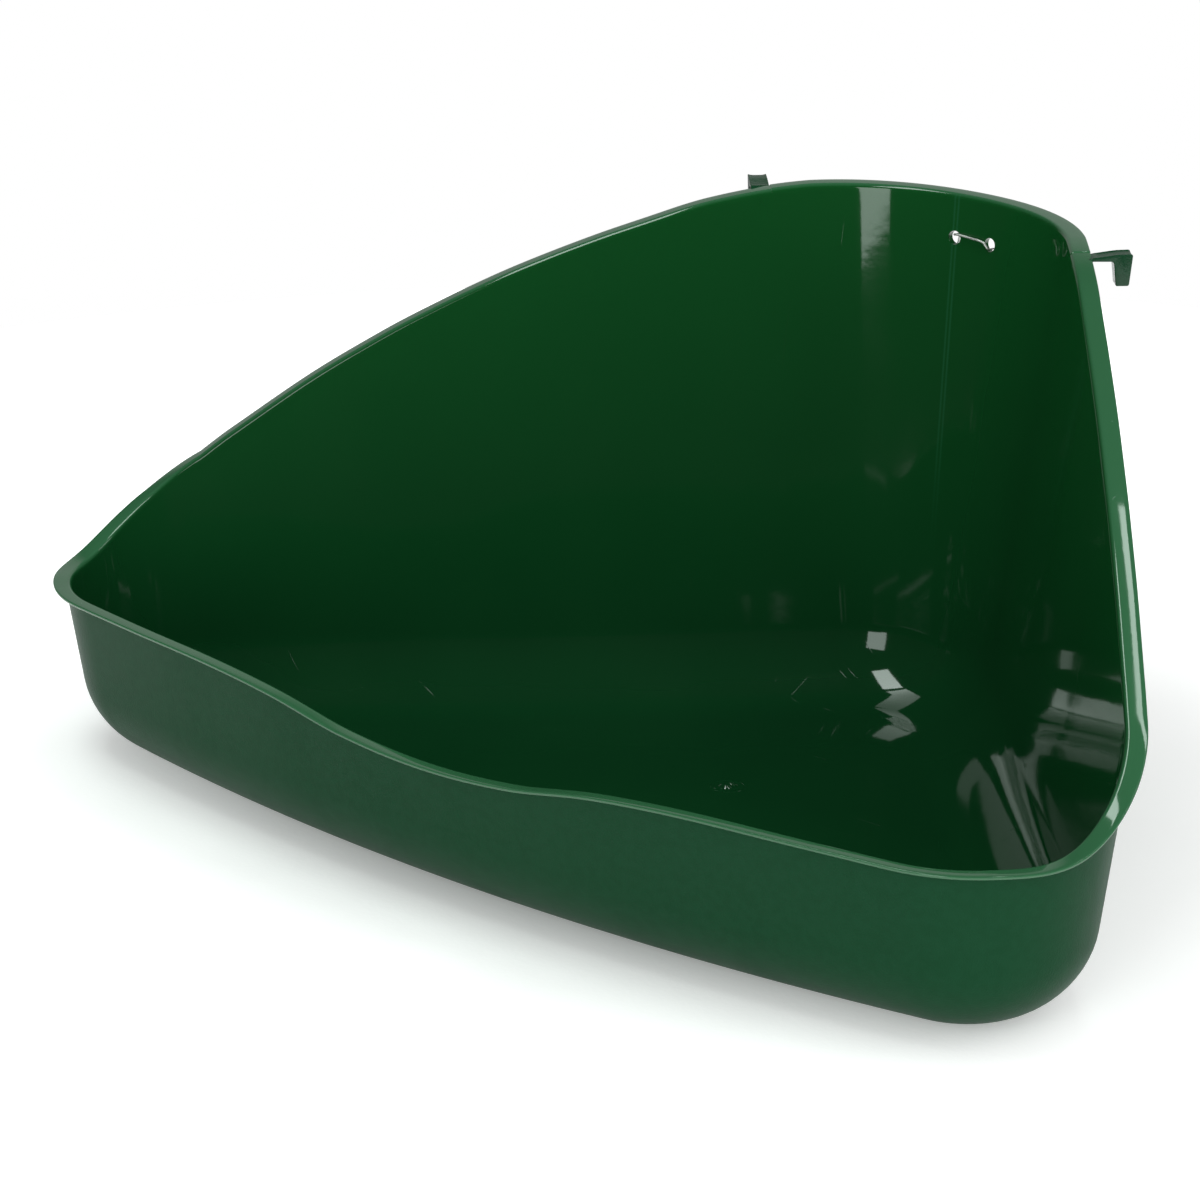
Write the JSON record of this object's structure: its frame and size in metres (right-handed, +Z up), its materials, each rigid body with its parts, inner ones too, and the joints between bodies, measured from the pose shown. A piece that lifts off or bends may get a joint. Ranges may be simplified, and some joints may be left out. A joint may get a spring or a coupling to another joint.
{
  "type": "corner feed tray",
  "caption": "Three-cornered plastic cage tray with a high back corner, a low bowed front, moulded hanging hooks and a bent wire clip.",
  "frame": {"origin": "middle of the underside of the object's box, on the surface that the floor stands on", "axes": "+Z up, +Y towards the cage corner at the high back, +X to the right seen from the low front; X = 0 is the mirror plane"},
  "size_m": [0.3598, 0.239, 0.1519],
  "materials": {
    "green_plastic": "dark green polypropylene, polished inside and on the flange, satin outside",
    "steel_wire": "bright drawn and bent thin wire"
  },
  "bodies": {
    "tray": {"tray_shell": "green_plastic", "cage_hook_right": "green_plastic", "cage_hook_left": "green_plastic"},
    "clip": {"wire_clip": "steel_wire"}
  },
  "joints": [
    {"name": "clip_rock", "type": "hinge", "parent": "tray", "child": "clip", "pos_m": [0, 0.11302, 0.1391], "axis": [1, 0, 0], "range_deg": [-1, 20]}
  ]
}
